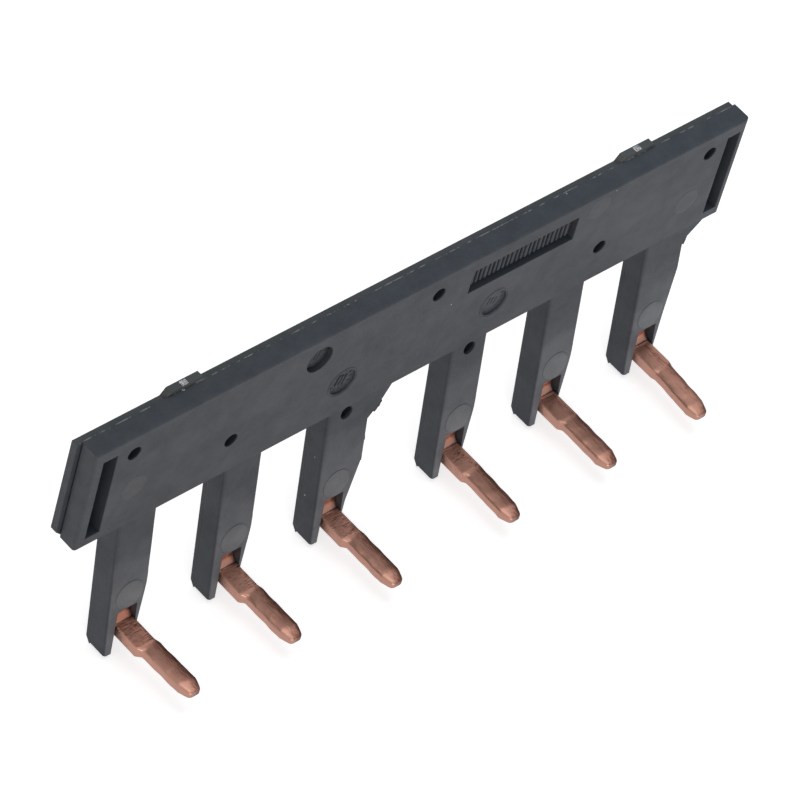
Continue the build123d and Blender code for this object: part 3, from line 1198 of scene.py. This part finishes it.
    def _burrs(self, plastic: Material) -> None:
        """Small torn flakes of flash at the edges of the gussets and of one leg, as thin bent slivers.

        Along a sliver, with t from 0 to 1, its size is swell sin(pi t)^0.7 (0.75 + 0.25 sin 17 t) + 0.02.

        Args:
            plastic: Their finish.
        """
        burrs = Surface()
        share = np.linspace(0, 1, self.burr_rows)
        turn = np.linspace(0, 2 * np.pi, self.burr_points, endpoint=False)
        for burr in self.burrs:
            line = np.outer(1 - share, burr.start) + np.outer(share, burr.end)
            size = burr.swell * np.sin(np.pi * share) ** 0.7 * (0.75 + 0.25 * np.sin(17 * share)) + 0.02
            x = line[:, 0][:, None] + size[:, None] * np.cos(turn) * 0.8
            drop = line[:, 1][:, None] + size[:, None] * np.cos(turn) * 0.5
            slant = self.burr_thickness * np.sin(turn)[None, :] + self.burr_slant * share[:, None]
            depth = -self.housing.plate_front - self.burr_depth + slant
            y = -depth - drop * np.tan(self.housing.lean)
            burrs.add_tube(np.stack([x, y, self.housing.plate_bottom - drop], axis=-1))
        burrs.build("flash_burrs", Slot.PLASTIC, plastic)

    def build(self, plastic: Material, smooth: Material, scar: Material) -> None:
        """Make all the marks.

        Args:
            plastic: Finish of the housing.
            smooth: Finish of the ejector discs.
            scar: Finish of a torn gate.
        """
        self._discs(smooth)
        self._recess_bars(plastic)
        self._dial_ticks(plastic)
        self._dial_insert(plastic)
        self._gate_scars(scar)
        self._burrs(plastic)


@dataclass
class Studio:
    """Plain pale floor, soft lamps and an even white surround."""

    floor_gap: float = 0.3 * MM
    floor_size: float = 6.0
    floor_colour: Colour = (0.86, 0.86, 0.87)
    floor_white: float = 0.64
    floor_roughness: float = 0.9
    surround: float = 0.34
    lamps: tuple[tuple[str, tuple[float, float, float], float, float], ...] = (
        ("front_lamp", (-0.50, -0.90, 0.20), 0.60, 6.0),
        ("top_lamp", (0.10, 0.15, 1.00), 0.90, 3.0),
        ("side_lamp", (-0.95, 0.05, 0.35), 0.60, 0.3),
    )

    def build(self, lowest: float, aim: Vector) -> None:
        """Build the floor, the lamps and the surround.

        Args:
            lowest: Height of the object's lowest point.
            aim: Point that the lamps look at.
        """
        self._floor(lowest - self.floor_gap)
        for name, place, size, power in self.lamps:
            lamp = bpy.data.lights.new(name, "AREA")
            lamp.shape = "DISK"
            lamp.size = size
            lamp.energy = power
            holder = bpy.data.objects.new(name, lamp)
            holder.location = aim + Vector(place)
            holder.rotation_mode = "QUATERNION"
            holder.rotation_quaternion = (-Vector(place)).to_track_quat("-Z", "Y")
            bpy.context.scene.collection.objects.link(holder)
        self._world()

    def _floor(self, height: float) -> None:
        """Large pale square that keeps the object's shadow, with white added where the camera or a gloss sees it.

        Args:
            height: Where it lies.
        """
        half = self.floor_size / 2
        corners = [(-half, -half, height), (half, -half, height), (half, half, height), (-half, half, height)]
        mesh = bpy.data.meshes.new("floor")
        mesh.from_pydata(corners, [], [(0, 1, 2, 3)])
        floor = bpy.data.objects.new("floor", mesh)
        bpy.context.scene.collection.objects.link(floor)
        nodes = Nodes(bpy.data.materials.new("floor_paper"))
        colour = (*self.floor_colour, 1.0)
        nodes.finish(Base_Color=colour, Roughness=self.floor_roughness, Specular_IOR_Level=0.0)
        white = nodes.add("ShaderNodeEmission", Strength=nodes.times(nodes.seen(), self.floor_white))
        both = nodes.add("ShaderNodeAddShader")
        nodes.put(nodes.shader, both, 0)
        nodes.put(white, both, 1)
        nodes.put(both, nodes.output, "Surface")
        mesh.materials.append(nodes.owner)
        floor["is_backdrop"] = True

    def _world(self) -> None:
        """Surround that is white to the camera, in gloss and through clear pieces, and dimmer as light."""
        nodes = Nodes(bpy.data.worlds.new("surround"), "ShaderNodeOutputWorld", "ShaderNodeBackground")
        bpy.context.scene.world = nodes.finish(Strength=nodes.spread(nodes.seen(), self.surround, 1.0))


@dataclass(frozen=True)
class PhotoCamera:
    """Camera fitted to the photograph, as its place and its three axes in the model's frame."""

    place: tuple[float, float, float] = (-359.32 * MM, -268.74 * MM, 467.80 * MM)
    right: tuple[float, float, float] = (0.73860, -0.64498, 0.19614)
    down: tuple[float, float, float] = (-0.39219, -0.64774, -0.65317)
    forward: tuple[float, float, float] = (0.54833, 0.40551, -0.73137)
    focal_pixels: float = 6362.9
    sensor_mm: float = 36.0
    clip: tuple[float, float] = (0.01, 20.0)

    def build(self) -> None:
        """Make the camera and let the scene use it."""
        data = bpy.data.cameras.new("photo_camera")
        data.sensor_width = self.sensor_mm
        data.lens = self.focal_pixels * self.sensor_mm / PHOTO_PIXELS
        data.clip_start, data.clip_end = self.clip
        camera = bpy.data.objects.new("photo_camera", data)
        axes = Matrix((self.right, [-value for value in self.down], [-value for value in self.forward])).transposed()
        camera.matrix_world = Matrix.Translation(self.place) @ axes.to_4x4()
        bpy.context.scene.collection.objects.link(camera)
        bpy.context.scene.camera = camera


def dress(piece: bpy.types.Object, material: Material) -> None:
    """Give a piece one material all over.

    Args:
        piece: The piece.
        material: Its finish.
    """
    piece.data.materials.clear()
    piece.data.materials.append(material)
    LOG.info("%s dressed as %s", piece.name, material.name)


def copper_links() -> list[CopperLink]:
    """The three nested links, with how each pin of the sample stands.

    Returns:
        The links from the outer one to the inner one, each with its left pin first.
    """
    outer, middle, inner = Housing.leg_places[-1:-4:-1]
    return [
        CopperLink("link_outer", outer, 0.6, (PinShape(0.035, 0.4, 0.35, 0.03), PinShape(-0.085, 0.0, 0.05, -0.25))),
        CopperLink("link_middle", middle, -2.4, (PinShape(0.01, 0.0, 0.33), PinShape(-0.015, 0.0, 0.22, -0.2))),
        CopperLink("link_inner", inner, -5.4, (PinShape(0.0, 0.0, 0.3), PinShape(-0.032, 0.0, 0.2, -0.12))),
    ]


def pressed_plastic() -> MouldedPlastic:
    """The housing's plastic where the ejector pins pressed it smoother.

    Returns:
        Its finish.
    """
    return MouldedPlastic(
        name="pressed_plastic", dark=(0.043, 0.046, 0.051), light=(0.065, 0.068, 0.074), roughness_low=0.36
    )


def main() -> None:
    """Build the whole scene in order."""
    logging.basicConfig(level=logging.INFO, format="%(name)s: %(message)s")
    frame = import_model()
    cad_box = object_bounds()
    PhotoCamera().build()
    Studio().build(cad_box[0].z, (cad_box[0] + cad_box[1]) / 2)

    plastic = MouldedPlastic().build()
    copper = CoinedCopper().build()
    for name in ("front_shell", "rear_cover"):
        dress(frame["nodes"][name], plastic)
    for link in copper_links():
        dress(frame["nodes"][link.name], copper)
        link.build(copper)
    MouldingMarks(Housing()).build(plastic, pressed_plastic().build(), TornPlastic().build())

    bpy.context.scene.view_settings.view_transform = "Standard"


if __name__ == "__main__":
    main()
